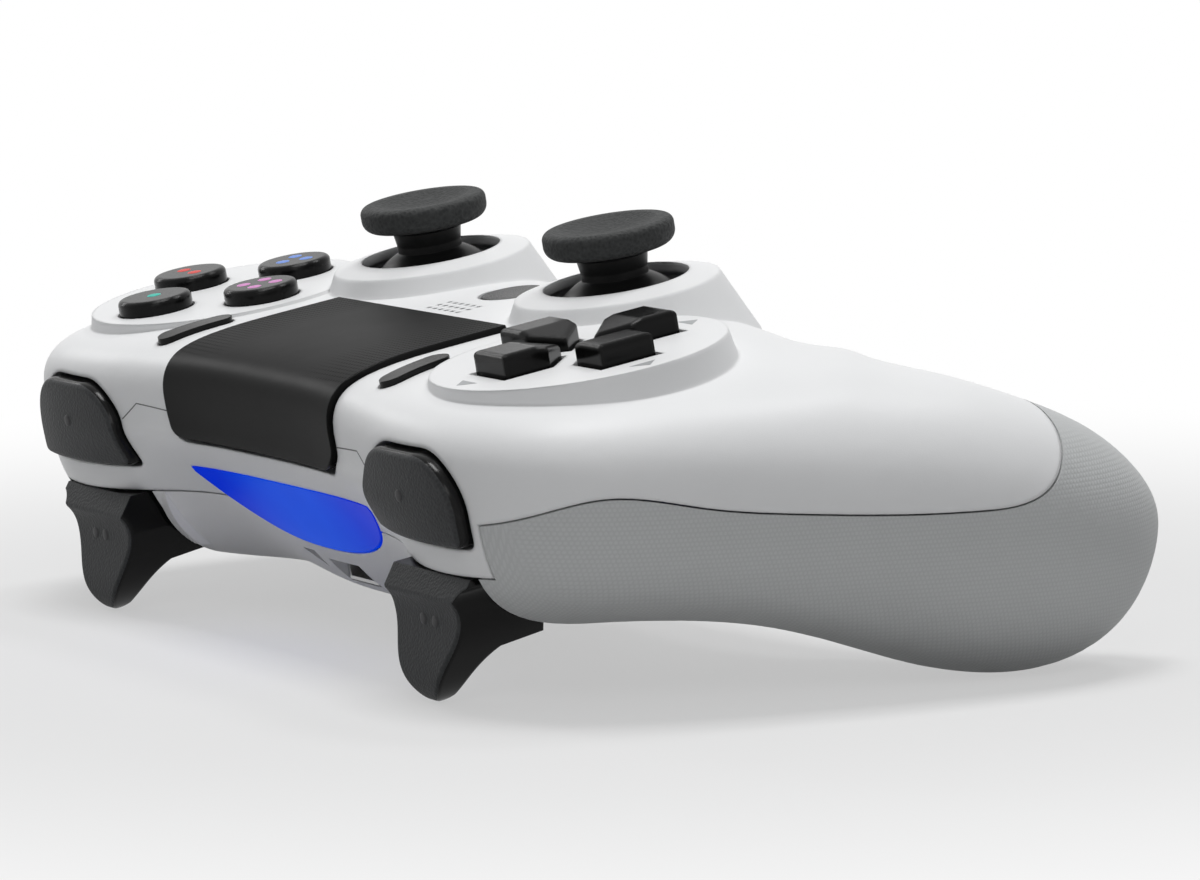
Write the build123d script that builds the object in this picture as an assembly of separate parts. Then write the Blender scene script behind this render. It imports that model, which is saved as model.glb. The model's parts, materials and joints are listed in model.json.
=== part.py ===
from build123d import *
import os
from math import cos, sin, pi, hypot

# Gamepad controller, millimetres. Every piece is drawn with the button deck level at z = 0,
# x to the player's right and y forward to the triggers, and is then tipped onto its resting
# pose, in which the trigger tips and the undersides of the grips carry it.

# Body
half_width = 81.0
body_depth = 98.5
grip_drop = 50.6
wall = 2.2
overrun = 20.0
seam_gap = 0.22
fine = 0.3
rest_tilt = 9.7

# Sections of the body from the middle plane out to a grip tip, as shares of half_width for x,
# of body_depth for y and of grip_drop for z: outer x and y, inner x and y, top, outer, bottom and
# inner heights, then the roundness powers of the four corners (top outer, top inner, bottom
# outer, bottom inner) and how far the lower front leans back.
section_shares = [
    (0.000, 0.219, 0.000, -0.375, 0.000, -0.237, -0.705, -0.336, 6.0, 3.2, 6.0, 3.2, 0.118),
    (0.150, 0.221, 0.050, -0.376, 0.000, -0.237, -0.704, -0.336, 6.0, 3.2, 5.6, 3.2, 0.125),
    (0.300, 0.230, 0.100, -0.378, 0.000, -0.242, -0.695, -0.338, 5.6, 3.2, 4.4, 3.2, 0.140),
    (0.440, 0.248, 0.150, -0.381, 0.000, -0.250, -0.672, -0.340, 5.2, 3.2, 3.9, 3.2, 0.105),
    (0.570, 0.258, 0.200, -0.385, 0.000, -0.260, -0.650, -0.345, 5.0, 3.2, 3.6, 3.1, 0.030),
    (0.700, 0.250, 0.255, -0.389, -0.002, -0.270, -0.635, -0.355, 4.8, 3.1, 3.2, 3.0, 0.008),
    (0.810, 0.212, 0.315, -0.393, -0.012, -0.282, -0.635, -0.370, 4.4, 2.8, 2.7, 2.9, 0.002),
    (0.885, 0.142, 0.375, -0.397, -0.028, -0.298, -0.655, -0.395, 3.8, 2.6, 2.4, 2.8, 0.0),
    (0.935, 0.035, 0.440, -0.403, -0.056, -0.322, -0.705, -0.430, 3.2, 2.4, 2.25, 2.6, 0.0),
    (0.965, -0.095, 0.500, -0.413, -0.095, -0.372, -0.800, -0.480, 2.7, 2.3, 2.15, 2.4, 0.0),
    (0.985, -0.230, 0.556, -0.432, -0.148, -0.440, -0.900, -0.540, 2.4, 2.25, 2.1, 2.2, 0.0),
    (0.998, -0.365, 0.612, -0.470, -0.218, -0.520, -0.960, -0.600, 2.2, 2.2, 2.1, 2.1, 0.0),
    (0.992, -0.480, 0.660, -0.528, -0.308, -0.590, -0.968, -0.645, 2.1, 2.1, 2.05, 2.05, 0.0),
    (0.958, -0.572, 0.706, -0.590, -0.408, -0.640, -0.920, -0.670, 2.0, 2.0, 2.0, 2.0, 0.0),
    (0.918, -0.622, 0.746, -0.630, -0.492, -0.660, -0.850, -0.675, 2.0, 2.0, 2.0, 2.0, 0.0),
    (0.877, -0.656, 0.792, -0.658, -0.576, -0.670, -0.768, -0.675, 2.0, 2.0, 2.0, 2.0, 0.0),
]
tip_shares = (0.836, -0.671, -0.674)
tip_half_width = 1.0
tip_half_height = 1.4
points_per_section = 32

# Seam between the shells, seen from the side: y as shares of body_depth, z of grip_drop.
# Behind the turn it climbs over the grips.
seam_turn_share = -0.42
seam_shares = [
    (0.330, -0.285), (0.244, -0.277), (0.136, -0.240), (0.025, -0.304), (-0.097, -0.375),
    (-0.230, -0.439), (-0.335, -0.480), (-0.394, -0.494), (-0.442, -0.478), (-0.477, -0.429),
    (-0.500, -0.360), (-0.505, -0.270),
]

# Button discs and stick barrels
disc_x = 48.0
disc_radius = 18.5
disc_rise = 0.4
disc_flare = 1.2
disc_depth = 5.5
stick_x = 24.6
stick_y = -19.7
ring_hole = 9.4
ring_top = 3.1
crest_radius = 13.2
crest_height = 2.3
barrel_radius = 17.2
barrel_foot_height = -6.0
barrel_foot_flare = 1.4
barrel_bottom = -14.0
ring_wall = 1.3

# Touch surface
touch_half_width = 23.2
touch_rear = -4.1
touch_front_height = -11.7
touch_corner = 3.5
touch_proud = 0.7
touch_thickness = 1.9
touch_gap = 0.35
touch_press_gap = 0.8
touch_board_thickness = 1.0

# Light bar, seen from the front
bar_top_height = -16.6
bar_half_width = 24.6
bar_end_height = -17.4
bar_shoulder_x = 18.4
bar_shoulder_height = -22.7
bar_bottom_height = -26.3
lens_thickness = 1.8
lens_gap = 0.12
light_board_length = 38.0
light_board_height = 7.6
light_board_y = 7.2
board_thickness = 1.2

# Bumper window and bumper
bumper_inner_x = 35.2
bumper_outer_x = 58.4
bumper_top = -5.6
bumper_bottom = -16.8
bumper_corner = 7.6
bumper_low_corner = 1.2
bumper_proud = 1.6
bumper_back_y = 20.0
bumper_gap = 0.45
bumper_edge = 0.9

# Strip between the bumper and the trigger, and the trigger
strip_bottom = -20.8
skirt_half_width = 60.0
skirt_rear_y = 5.0
trigger_inner_x = 37.2
trigger_outer_x = 56.6
trigger_axis_y = 17.0
trigger_axis_z = -18.6
trigger_lobe_radius = 2.3
trigger_pin_radius = 1.0
running_gap = 0.06
trigger_slot_gap = 0.9
trigger_tip_z = -37.0
trigger_pin_inner_x = 34.3
trigger_pin_outer_x = 59.4
ear_thickness = 1.8
ear_half_height = 1.9
ear_half_depth = 2.6
spring_radius = 1.7
spring_length = 4.4
trigger_edge = 0.6

# Side outline of a trigger, as shares of its depth forward of the hinge and down from it, and its
# front outline, as shares of its width out from the inner side and of its depth down
trigger_top_share = 0.39
trigger_face_shares = [(0.50, 0.28), (0.485, 0.58), (0.56, 0.90)]
trigger_tip_shares = [(0.50, 1.00), (0.37, 0.97)]
trigger_back_shares = [(0.27, 0.80), (0.10, 0.68)]
trigger_heel_share = (-0.20, 0.66)
trigger_front_shares = [
    (0.896, 0.283), (0.870, 0.420), (0.727, 0.740), (0.563, 0.950), (0.433, 1.016), (0.303, 0.960),
    (0.078, 0.680), (0.000, 0.420),
]

# Cheeks of the lower shell beside the inner wall of each trigger, seen from the side
cheek_thickness = 2.2
cheek_front_y = 20.6
cheek_nose_y = 18.6
cheek_tip_y = 16.6
cheek_tip_z = -29.4
cheek_rear_y = 6.0
cheek_rear_z = -31.0

# D-pad
key_width = 7.4
key_inner = 2.4
key_outer = 12.3
key_top = 3.2
key_inner_top = 1.4
key_slope_end = 7.4
key_gap = 0.72
key_edge = 0.7
hub_radius = 12.6
hub_top = -3.4
hub_bottom = -4.6
saddle_radius = 2.3
platform_height = -7.0
platform_radius = 15.4
platform_thickness = 1.4
pad_radius = 13.4
pad_thickness = 0.6
pad_dome_radius = 2.0
dpad_dome_height = -5.5
button_dome_height = -6.1
key_centre_radius = 7.85

# Face buttons
face_radius = 5.0
face_circle = 10.7
face_top = 2.4
face_gap = 0.25
face_edge = 0.7
flange_extra = 0.6
flange_thickness = 0.9
flange_seat = 0.3
button_bottom = -4.6

# Menu and home buttons
menu_x = 30.6
menu_y = 13.6
menu_length = 10.4
menu_width = 3.4
menu_turn = -9.0
menu_proud = 0.7
menu_flange = 0.9
menu_stem = 1.4
home_y = -17.8
home_radius = 4.3
home_top = -0.1
home_drop = 0.8

# Speaker
speaker_y = -9.0
speaker_half_width = 7.0
speaker_half_depth = 2.9
speaker_corner = 1.4
speaker_thickness = 3.2
speaker_hole_radius = 0.36
speaker_pitch = 1.55
speaker_rows = 3
speaker_columns = 6

# Stick modules
pivot_height = -6.0
module_half = 6.4
module_wall = 1.1
module_floor = 0.8
module_rise = 1.5
sensor_thickness = 2.6
sensor_half_width = 3.3
sensor_rise = 1.0
sensor_drop = 5.0
yoke_half = 4.5
yoke_bar = 1.0
yoke_half_height = 1.0
yoke_pin_radius = 0.8
carriage_half = 2.4
carriage_half_height = 1.9
lever_radius = 1.4
lever_drop = 3.4
lever_top = 9.5
post_radius = 4.3
post_flare_radius = 5.9
dome_radius = 10.5
dome_thickness = 0.7
dome_reach_deg = 70
cap_radius = 8.45
cap_bottom = 6.9
cap_top = 10.4
cap_dish = 1.2
cap_top_edge = 1.0
cap_low_edge = 1.7

# Frame, boards and battery
frame_top = -13.6
frame_thickness = 2.0
frame_half_width = 50.0
frame_rear = -29.0
frame_front = 12.0
board_half_width = 36.0
main_board_thickness = 1.6
pillar_radius = 11.0
pillar_wall = 1.6
battery_half_width = 24.0
battery_rear = -21.5
battery_front = 5.0
battery_thickness = 8.0
cell_gap = 0.3

# Rumble motors
motor_x = 63.5
motor_y = -33.0
motor_left_radius = 8.0
motor_right_radius = 7.0
motor_height = 11.0
motor_base_height = -33.2
motor_gap = 0.05
cradle_wall = 1.4
cradle_height = 7.0
weight_thickness = 4.6
weight_margin = 0.8
weight_hub = 1.6

# Sockets
usb_half_width = 3.9
usb_half_height = 1.5
usb_depth = 6.4
usb_mouth_y = 10.4
usb_z = -30.4
usb_wall = 0.45
port_gap = 0.3
usb_board_depth = 12.0
usb_board_setback = 6.5
jack_x = 12.0
jack_z = -19.0
jack_radius = 2.9
jack_bore = 1.8
jack_mouth_y = -36.6
jack_length = 14.0
jack_bore_length = 12.0
port_half_width = 5.0
port_half_height = 2.4
port_depth = 7.5
port_mouth_y = -36.0
recess_width = 3.4
recess_height = 2.6
recess_floor_y = 11.5
recess_x = 6.9
recess_z = -27.7

# Case screws
screw_spots = [(29.0, 2.0), (68.0, -46.0)]
screw_radius = 1.2
screw_head_radius = 2.1
screw_head_height = 1.4
screw_length = 11.0
boss_radius = 2.6
boss_gap = 0.35
counterbore_depth = 2.2


def smooth_section(row, side, inset):
    """Closed section of the body at one station, drawn smaller by inset."""
    x_out, y_out, x_in, y_in, top, z_out, bottom, z_in = row[:8]
    top_outer, top_inner, bottom_outer, bottom_inner, lean = row[8:]
    x_out, x_in = x_out * half_width * side, x_in * half_width * side
    y_out, y_in = y_out * body_depth, y_in * body_depth
    z_out, z_in = z_out * grip_drop, z_in * grip_drop
    top, bottom = top * grip_drop - inset, bottom * grip_drop + inset
    length = hypot(x_out - x_in, y_out - y_in)
    along_x, along_y = (x_out - x_in) / length, (y_out - y_in) / length
    middle = length / 2
    points = []
    for index in range(points_per_section):
        angle = 2 * pi * index / points_per_section - pi / 2
        c, s = cos(angle), sin(angle)
        if s >= 0:
            power = top_outer if c >= 0 else top_inner
        else:
            power = bottom_outer if c >= 0 else bottom_inner
        reach = (abs(c) ** power + abs(s) ** power) ** (-1 / power)
        u, v = c * reach, s * reach
        widest = z_out if c >= 0 else z_in
        out = middle + (middle - inset) * u
        height = widest + (top - widest if s >= 0 else widest - bottom) * v
        if c > 0 and s < 0:
            out += lean * body_depth * u * v
        points.append((x_in + along_x * out, y_in + along_y * out, height))
    return points


def section_wire(row, side, inset):
    """Section outline as one smooth closed curve that starts and ends at the middle of its underside."""
    points = smooth_section(row, side, inset)
    x_out, y_out, x_in, y_in = row[:4]
    outwards = ((x_out - x_in) * half_width * side, (y_out - y_in) * body_depth, 0)
    steps = [index / len(points) for index in range(len(points) + 1)]
    return Wire([Edge.make_spline(points + points[:1], tangents=[outwards, outwards], parameters=steps)])


def tip_wire(side, inset):
    """Small flat oval that closes a grip tip."""
    x, y, z = tip_shares[0] * half_width * side, tip_shares[1] * body_depth + inset, tip_shares[2] * grip_drop
    points = []
    for index in range(points_per_section):
        angle = 2 * pi * index / points_per_section - pi / 2
        points.append((x + side * tip_half_width * cos(angle), y, z + tip_half_height * sin(angle)))
    steps = [index / len(points) for index in range(len(points) + 1)]
    outwards = (side, 0, 0)
    return Wire([Edge.make_spline(points + points[:1], tangents=[outwards, outwards], parameters=steps)])


def body_form(inset=0.0):
    """The whole outer form of the body in one smooth loft from grip tip to grip tip."""
    rows = section_shares if inset < wall / 2 else section_shares[:-1]
    order = [(row, -1) for row in reversed(rows)] + [(row, 1) for row in rows[1:]]
    wires = [section_wire(row, side, inset) for row, side in order]
    return Solid.make_loft([tip_wire(-1, inset)] + wires + [tip_wire(1, inset)])


def both_sides(shape):
    return shape + mirror(shape, about=Plane.YZ)


def box_between(x0, x1, y0, y1, z0, z1):
    middle = ((x0 + x1) / 2, (y0 + y1) / 2, (z0 + z1) / 2)
    return Pos(*middle) * Box(x1 - x0, y1 - y0, z1 - z0)


def upright_cylinder(x, y, radius, z0, z1):
    return Pos(x, y, (z0 + z1) / 2) * Cylinder(radius, z1 - z0)


def seen_from_front(outline, y_rear, y_front):
    """Prism along y over an outline of (x, z) edges."""
    face = make_face(Plane.XZ.offset(-y_front) * outline)
    return extrude(face, y_front - y_rear, dir=(0, -1, 0))


def seen_from_side(outline, x_left, x_right):
    """Prism along x over an outline of (y, z) edges."""
    face = make_face(Plane.YZ.offset(x_left) * outline)
    return extrude(face, x_right - x_left, dir=(1, 0, 0))


def spun(outline, x=0.0, y=0.0, z=0.0):
    """Solid turned about the vertical line at x, y from an outline of (radius, z) points."""
    face = make_face(Plane.XZ * Polyline(*outline, close=True))
    return Pos(x, y, z) * revolve(face, Axis.Z)


def plan_rectangle(x0, x1, y0, y1, corner, z0, z1):
    sketch = Pos((x0 + x1) / 2, (y0 + y1) / 2) * RectangleRounded(x1 - x0, y1 - y0, corner)
    return extrude(Plane.XY.offset(z0) * sketch, z1 - z0)


def disc_form(inset):
    outline = [
        (0, -disc_depth - inset), (disc_radius + disc_flare - inset, -disc_depth - inset),
        (disc_radius - inset, disc_rise - inset), (0, disc_rise - inset),
    ]
    return both_sides(spun(outline, disc_x, 0))


def barrel_form(inset, ring_inset):
    foot = barrel_radius - inset
    outline = [
        (0, barrel_bottom - inset), (foot + barrel_foot_flare, barrel_bottom - inset),
        (foot, barrel_foot_height - inset), (crest_radius - inset, crest_height - ring_inset),
        (ring_hole + fine, ring_top - ring_inset), (0, ring_top - ring_inset),
    ]
    return both_sides(spun(outline, stick_x, stick_y))


def touch_outline(gap, press_gap):
    low = touch_front_height - press_gap
    half = touch_half_width + gap
    height = wall - low
    sketch = Pos(0, (low + wall) / 2) * RectangleRounded(2 * half, height, touch_corner)
    return seen_from_front_face(sketch, touch_rear - gap)


def bar_outline(gap):
    """Front outline of the light bar lens, wider by gap."""
    top, end = bar_top_height + gap, bar_half_width + gap
    shoulder_x, shoulder_height = bar_shoulder_x + gap, bar_shoulder_height - gap
    below = [(-end, bar_end_height), (-shoulder_x, shoulder_height), (0, bar_bottom_height - gap),
             (shoulder_x, shoulder_height), (end, bar_end_height)]
    return Spline(*below) + Polyline(below[-1], (end, top), (-end, top), below[0])


def bumper_outline(gap):
    wide = bumper_outer_x - bumper_inner_x + 2 * gap
    tall = bumper_top - bumper_bottom + 2 * gap
    centre = ((bumper_inner_x + bumper_outer_x) / 2, (bumper_top + bumper_bottom) / 2)
    sketch = Pos(*centre) * Rectangle(wide, tall)
    upper = sketch.vertices().group_by(Axis.Y)[-1]
    sketch = fillet(upper, bumper_corner + gap)
    lower = sketch.vertices().group_by(Axis.Y)[0]
    return fillet(lower, bumper_low_corner)


def key_outline(gap):
    """Plan outline of the D-pad key that points along +x from the disc centre."""
    half, inner, outer = key_width / 2 + gap, key_inner - gap, key_outer + gap
    return make_face(Polyline(
        (inner, 0), (inner + half, -half), (outer, -half), (outer, half), (inner + half, half),
        close=True))


def seam_region(drop):
    """Everything above the seam of the two shells, with the seam lowered by drop."""
    points = [(y * body_depth - (drop if y < seam_turn_share else 0), z * grip_drop - drop)
              for y, z in seam_shares]
    ceiling = overrun
    outline = (
        Spline(*points)
        + Polyline(points[-1], (points[-1][0], ceiling), (points[0][0], ceiling), points[0])
    )
    upper = seen_from_side(outline, -half_width - overrun, half_width + overrun)
    skirt = box_between(-skirt_half_width - drop, skirt_half_width + drop, skirt_rear_y, body_depth / 2,
                        strip_bottom - drop, 0)
    return upper + skirt + seen_from_front(bar_outline(drop), skirt_rear_y, body_depth / 2)


def trigger_slots():
    gap = trigger_slot_gap
    slot = box_between(
        trigger_inner_x - gap, trigger_outer_x + gap, trigger_axis_y - 2 * wall - 4 * gap,
        body_depth / 2, -grip_drop, strip_bottom)
    return both_sides(slot)


def placed_menu(side, length, width, z0, z1):
    pill = SlotOverall(length, width)
    turned = Pos(side * menu_x, menu_y) * Rot(0, 0, 90 + side * menu_turn) * pill
    return extrude(Plane.XY.offset(z0) * turned, z1 - z0)


def face_spots():
    return [
        ("button_front", disc_x, face_circle), ("button_outer", disc_x + face_circle, 0),
        ("button_rear", disc_x, -face_circle), ("button_inner", disc_x - face_circle, 0),
    ]


def speaker_holes():
    holes = []
    for row in range(speaker_rows):
        for column in range(speaker_columns):
            x = (column - (speaker_columns - 1) / 2) * speaker_pitch
            y = speaker_y + (row - (speaker_rows - 1) / 2) * speaker_pitch
            holes.append(upright_cylinder(x, y, speaker_hole_radius, -2 * wall, wall))
    return holes


def screw_bosses():
    """Bosses hang from the upper shell and take the case screws from below."""
    bosses = []
    for x, y in screw_spots:
        seat = screw_seat_height(x)
        bosses.append(upright_cylinder(x, y, boss_radius, seat + boss_gap, 0))
    return both_sides(Part() + bosses)


def screw_seat_height(x):
    """Inner end of the screw post of the lower shell."""
    underside = section_shares[0][6] * grip_drop if x < disc_x else -grip_drop
    return underside + wall + counterbore_depth + 2 * wall


def screw_cylinders(radius, from_seat, to_seat):
    rods = []
    for x, y in screw_spots:
        seat = screw_seat_height(x)
        rods.append(upright_cylinder(x, y, radius, seat + from_seat, seat + to_seat))
    return both_sides(Part() + rods)


def trigger_ears(core):
    """Two pairs of ears behind each strip, which hold the ends of the trigger pins."""
    ears = Part()
    reach = body_depth / 2
    for x in (trigger_pin_inner_x, trigger_pin_outer_x - ear_thickness):
        ears += box_between(x, x + ear_thickness, trigger_axis_y - ear_half_depth, reach,
                            trigger_axis_z - ear_half_height, trigger_axis_z + ear_half_height)
    ears = both_sides(ears) & core
    pin = Pos(0, trigger_axis_y, trigger_axis_z) * Rot(0, 90, 0) * Cylinder(
        trigger_pin_radius + running_gap, 2 * half_width)
    return ears - pin


def front_cutters():
    """Everything that is cut out of the front shell."""
    cutters = [
        screw_cylinders(screw_radius + running_gap, 0, screw_length),
        both_sides(upright_cylinder(stick_x, stick_y, ring_hole, 0, overrun)),
        touch_outline(touch_gap, touch_press_gap),
        both_sides(seen_from_front_face(bumper_outline(bumper_gap), bumper_back_y - 3 * wall)),
        seen_from_front(bar_outline(lens_gap), skirt_rear_y, body_depth / 2),
        upright_cylinder(0, home_y, home_radius + face_gap, -2 * wall, overrun),
        jack_and_port_openings(),
        trigger_slots(),
    ]
    for _, x, y in face_spots():
        cutters.append(upright_cylinder(x, y, face_radius + face_gap, -2 * wall, overrun))
    for quarter in range(4):
        cut = extrude(Plane.XY.offset(-2 * wall) * key_outline(key_gap), overrun)
        cutters.append(Pos(-disc_x, 0, 0) * Rot(0, 0, 90 * quarter) * cut)
    for side in (-1, 1):
        cutters.append(placed_menu(side, menu_length + 2 * face_gap, menu_width + 2 * face_gap,
                                   -3 * wall, overrun))
    return cutters + speaker_holes()


def rear_cutters():
    """Everything that is cut out of the rear shell."""
    return [
        screw_cylinders(screw_radius + face_gap, -overrun, wall),
        screw_cylinders(screw_head_radius + face_gap, -overrun, -wall),
        trigger_slots(),
        seen_from_front(bar_outline(lens_gap), skirt_rear_y, body_depth / 2),
        box_between(-usb_half_width - port_gap, usb_half_width + port_gap, 0, body_depth / 2,
                    usb_z - usb_half_height - port_gap, usb_z + usb_half_height + port_gap),
        jack_and_port_openings(),
        corner_recess(),
    ]


def make_shells():
    outer = body_form() + disc_form(0) + barrel_form(0, 0)
    hollow = body_form(wall) + disc_form(wall) + barrel_form(wall, ring_wall)
    core = body_form(wall / 2)
    skin = outer - hollow
    front = skin & seam_region(0)
    rear = skin - seam_region(seam_gap)
    front += (screw_bosses() & core) + trigger_ears(core)
    front -= front_cutters()
    rear += (screw_posts() & core) + (motor_cradles() & core) + trigger_cheeks()
    rear -= rear_cutters()
    return front, rear


def seen_from_front_face(sketch, y_rear):
    """Prism along y over a sketch of x and z."""
    y_front = body_depth / 2
    return extrude(Plane.XZ.offset(-y_front) * sketch, y_front - y_rear, dir=(0, -1, 0))


def screw_posts():
    return screw_cylinders(boss_radius + wall / 2, -overrun, 0)


def motor_cradles():
    cradles = Part()
    for side, radius in ((-1, motor_left_radius), (1, motor_right_radius)):
        base, top = motor_base_height, motor_base_height + cradle_height
        outside = radius + motor_gap + cradle_wall
        tube = upright_cylinder(side * motor_x, motor_y, outside, base - overrun, top)
        tube -= upright_cylinder(side * motor_x, motor_y, radius + motor_gap, base, top + overrun)
        cradles += tube
    return cradles


def trigger_cheeks():
    """Fins that come down beside the triggers and blend into the underside."""
    top = strip_bottom - seam_gap
    outline = (
        Line((cheek_rear_y, top), (cheek_front_y, top))
        + ThreePointArc((cheek_front_y, top), (cheek_nose_y, cheek_tip_z + wall), (cheek_tip_y, cheek_tip_z))
        + Polyline((cheek_tip_y, cheek_tip_z), (cheek_rear_y, cheek_rear_z), (cheek_rear_y, top))
    )
    outside = trigger_inner_x - trigger_slot_gap
    return both_sides(seen_from_side(outline, outside - cheek_thickness, outside))


def corner_recess():
    """Small three-sided recess in the lower front, beside the charging socket."""
    outline = Polyline((recess_x, recess_z), (recess_x + recess_width, recess_z),
                       (recess_x, recess_z - recess_height), close=True)
    return seen_from_front(outline, recess_floor_y, body_depth / 2)


def jack_and_port_openings():
    jack = Pos(jack_x, jack_mouth_y, jack_z) * Rot(90, 0, 0) * Cylinder(jack_radius + port_gap, overrun)
    port = box_between(-port_half_width - port_gap, port_half_width + port_gap,
                       port_mouth_y - overrun / 2, port_mouth_y + overrun / 2,
                       jack_z - port_half_height - port_gap, jack_z + port_half_height + port_gap)
    return jack + port


def make_touch():
    layer = body_form(-touch_proud) - body_form(touch_thickness - touch_proud)
    surface = layer & touch_outline(0, 0)
    z_top = -touch_thickness + touch_proud - 2 * fine
    board = plan_rectangle(-touch_half_width + wall, touch_half_width - wall, touch_rear + wall / 2,
                           touch_rear + 8 * wall, wall / 2, z_top - touch_board_thickness, z_top)
    return surface, board


def make_light():
    layer = body_form(-fine / 2) - body_form(lens_thickness)
    lens = layer & seen_from_front(bar_outline(0), skirt_rear_y, body_depth / 2)
    z_top = frame_top - frame_thickness - fine
    board = box_between(-light_board_length / 2, light_board_length / 2, light_board_y,
                        light_board_y + board_thickness, z_top - light_board_height, z_top)
    return lens, board


def make_bumper():
    form = body_form(-bumper_proud) & seen_from_front_face(bumper_outline(0), bumper_back_y)
    front_edges = form.edges().filter_by_position(Axis.Y, bumper_back_y + wall / 2, body_depth / 2)
    return fillet(front_edges, bumper_edge)


def trigger_profile():
    """Side outline of a trigger: top facet, face, tip, hollow back, heel and the lobe round the pin."""
    y, z, lobe = trigger_axis_y, trigger_axis_z, trigger_lobe_radius
    depth = z - trigger_tip_z

    def at(shares):
        return [(y + forward * depth, z - down * depth) for forward, down in shares]

    top_front = (y + trigger_top_share * depth, strip_bottom - fine)
    face, tip, back = at(trigger_face_shares), at(trigger_tip_shares), at(trigger_back_shares)
    heel_back = at([trigger_heel_share])[0]
    return (
        Line(top_front, face[0]) + Spline(*face, *tip) + Spline(tip[-1], *back)
        + Polyline(back[-1], heel_back, (y - lobe, z))
        + ThreePointArc((y - lobe, z), (y, z + lobe), (y + lobe, z))
        + Polyline((y + lobe, z), (y + lobe, strip_bottom - fine), top_front)
    )


def make_trigger():
    """Trigger on the player's right."""
    y, z, lobe = trigger_axis_y, trigger_axis_z, trigger_lobe_radius
    x0, x1 = trigger_inner_x, trigger_outer_x
    depth = z - trigger_tip_z
    form = seen_from_side(trigger_profile(), x0, x1)
    corner = (x1, strip_bottom - lobe / 2)
    side = [(x0 + out * (x1 - x0), z - down * depth) for out, down in trigger_front_shares]
    outline = Spline(corner, *side) + Polyline(side[-1], (x0, z + 2 * lobe), (x1, z + 2 * lobe), corner)
    form &= seen_from_front(outline, y - 2 * lobe - wall, body_depth / 2)
    face_edges = form.edges().filter_by_position(Axis.Z, trigger_tip_z - wall, strip_bottom - wall)
    face_edges = face_edges.filter_by_position(Axis.Y, y + lobe, body_depth / 2)
    form = fillet(face_edges, trigger_edge)
    form -= box_between(x1 - spring_length - 4 * fine, x1 + fine, y - 2 * lobe, y + lobe + fine,
                        strip_bottom + fine, z + 2 * lobe)
    pin = Pos(0, y, z) * Rot(0, 90, 0) * Cylinder(trigger_pin_radius + running_gap, 2 * half_width)
    return form - pin


def make_trigger_hardware():
    y, z = trigger_axis_y, trigger_axis_z
    middle = (trigger_pin_inner_x + trigger_pin_outer_x) / 2
    length = trigger_pin_outer_x - trigger_pin_inner_x
    pin = Pos(middle, y, z) * Rot(0, 90, 0) * Cylinder(trigger_pin_radius, length)
    centre = trigger_outer_x - fine - spring_length / 2
    spring = Cylinder(spring_radius, spring_length) - Cylinder(trigger_pin_radius + fine, spring_length)
    return pin, Pos(centre, y, z) * Rot(0, 90, 0) * spring


def make_dpad():
    keys = Part()
    for quarter in range(4):
        key = extrude(Plane.XY.offset(hub_bottom) * key_outline(0), key_top - hub_bottom)
        crown = Polyline((0, hub_bottom), (key_outer + fine, hub_bottom), (key_outer + fine, key_top),
                         (key_slope_end, key_top), (0, key_inner_top), close=True)
        key &= extrude(make_face(Plane.XZ * crown), key_width, both=True)
        top_edges = key.edges().filter_by_position(Axis.Z, 0, key_top + fine)
        key = fillet(top_edges, key_edge)
        keys += Rot(0, 0, 90 * quarter) * key
    hub = upright_cylinder(0, 0, hub_radius, hub_bottom, hub_top)
    hub -= upright_cylinder(0, 0, saddle_radius + fine, hub_bottom, hub_top - fine)
    return Pos(-disc_x, 0, 0) * (keys + hub)


def make_saddle():
    top = hub_top - 2 * fine
    return upright_cylinder(-disc_x, 0, saddle_radius, platform_height + fine, top)


def make_pad(x, dome_radius_circle, dome_height, hole_radius):
    base, top = platform_height, platform_height + pad_thickness
    pad = upright_cylinder(x, 0, pad_radius, base, top)
    for quarter in range(4):
        angle = pi / 2 * quarter
        spot = (x + dome_radius_circle * cos(angle), dome_radius_circle * sin(angle))
        pad += upright_cylinder(*spot, pad_dome_radius, base, dome_height)
    if hole_radius:
        pad -= upright_cylinder(x, 0, hole_radius, base, top)
    return pad


def make_face_button(x, y):
    seat = disc_rise - wall - flange_seat
    top = upright_cylinder(x, y, face_radius, seat - flange_thickness, face_top)
    top = fillet(top.edges().group_by(Axis.Z)[-1], face_edge)
    flange = upright_cylinder(x, y, face_radius + flange_extra, seat - flange_thickness, seat)
    stem = upright_cylinder(x, y, face_radius / 2, button_bottom, seat - flange_thickness)
    return top + flange + stem


def make_menu_button(side):
    pill = placed_menu(side, menu_length, menu_width, -3 * wall, wall) & body_form(-menu_proud)
    pill -= body_form(wall + flange_seat)
    flange = placed_menu(side, menu_length + 2 * menu_flange, menu_width + 2 * menu_flange, -4 * wall, 0)
    flange &= body_form(wall + flange_seat) - body_form(wall + flange_seat + menu_stem)
    return pill + flange


def make_home_button():
    seat = -wall - flange_seat - home_drop
    top = upright_cylinder(0, home_y, home_radius, seat - flange_thickness, home_top)
    top = fillet(top.edges().group_by(Axis.Z)[-1], fine)
    return top + upright_cylinder(0, home_y, home_radius + flange_extra, seat - flange_thickness, seat)


def make_speaker():
    top = -wall - fine
    w, d, rim = speaker_half_width, speaker_half_depth, wall / 2
    case = plan_rectangle(-w, w, speaker_y - d, speaker_y + d, speaker_corner, top - speaker_thickness, top)
    return case - plan_rectangle(-w + rim, w - rim, speaker_y - d + rim, speaker_y + d - rim, fine,
                                 top - fine, top)


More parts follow.
